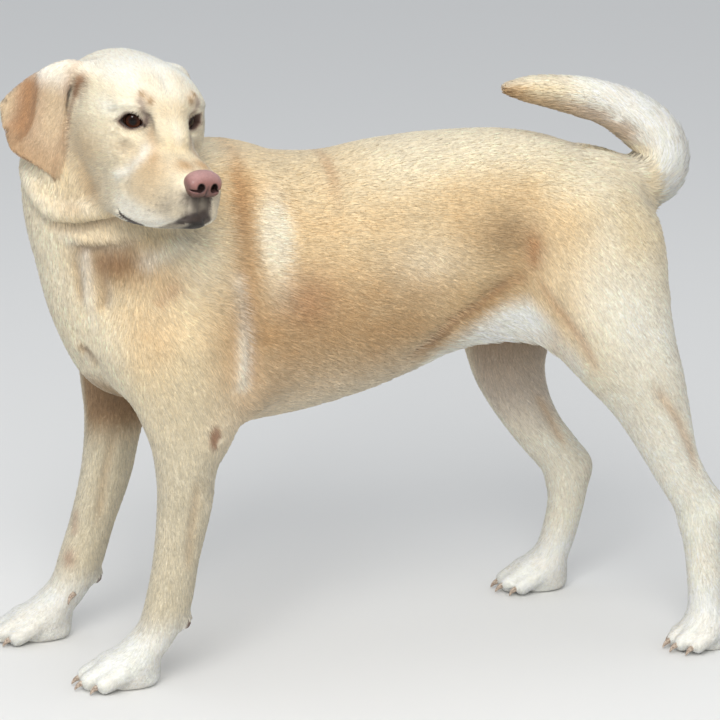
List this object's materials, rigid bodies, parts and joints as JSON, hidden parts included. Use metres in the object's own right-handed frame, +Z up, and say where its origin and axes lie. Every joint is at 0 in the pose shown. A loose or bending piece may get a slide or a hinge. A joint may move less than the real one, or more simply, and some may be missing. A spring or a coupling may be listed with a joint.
{
  "type": "labrador retriever dog",
  "caption": "Life-size standing short-coated dog with hanging ears, its head turned back over its left side and its tail curled up over the rump.",
  "frame": {"origin": "on the floor under the middle of the animal's bounding box", "axes": "+X toward the dog's chest, +Y toward the dog's left, +Z up"},
  "size_m": [0.8026, 0.3625, 0.6765],
  "materials": {
    "coat_cream": "short dense cream coat",
    "coat_pale": "short near-white coat of the paws and the root of the tail",
    "coat_tan": "short velvety tan coat of the ears",
    "eye_gloss": "wet dark brown eye",
    "nose_leather": "bare pinkish brown nose leather",
    "claw_horn": "pinkish translucent horn"
  },
  "bodies": {
    "root": {"claw_fore_left_1": "claw_horn", "claw_fore_left_2": "claw_horn", "claw_fore_left_3": "claw_horn", "claw_fore_left_4": "claw_horn", "claw_fore_left_dew": "claw_horn", "claw_fore_right_1": "claw_horn", "claw_fore_right_2": "claw_horn", "claw_fore_right_3": "claw_horn", "claw_fore_right_4": "claw_horn", "claw_fore_right_dew": "claw_horn", "claw_hind_left_1": "claw_horn", "claw_hind_left_2": "claw_horn", "claw_hind_left_3": "claw_horn", "claw_hind_left_4": "claw_horn", "claw_hind_right_1": "claw_horn", "claw_hind_right_2": "claw_horn", "claw_hind_right_3": "claw_horn", "claw_hind_right_4": "claw_horn", "ear_left": "coat_tan", "ear_right": "coat_tan", "eye_left": "eye_gloss", "eye_right": "eye_gloss", "fore_left_forearm": "coat_cream", "fore_left_paw": "coat_pale", "fore_right_forearm": "coat_cream", "fore_right_paw": "coat_pale", "head": "coat_cream", "hind_left_paw": "coat_pale", "hind_left_shank": "coat_cream", "hind_left_thigh": "coat_cream", "hind_right_paw": "coat_pale", "hind_right_shank": "coat_cream", "hind_right_thigh": "coat_cream", "neck": "coat_cream", "nose": "nose_leather", "tail_base": "coat_pale", "tail_mid": "coat_cream", "tail_tip": "coat_cream", "trunk": "coat_cream"}
  },
  "joints": []
}
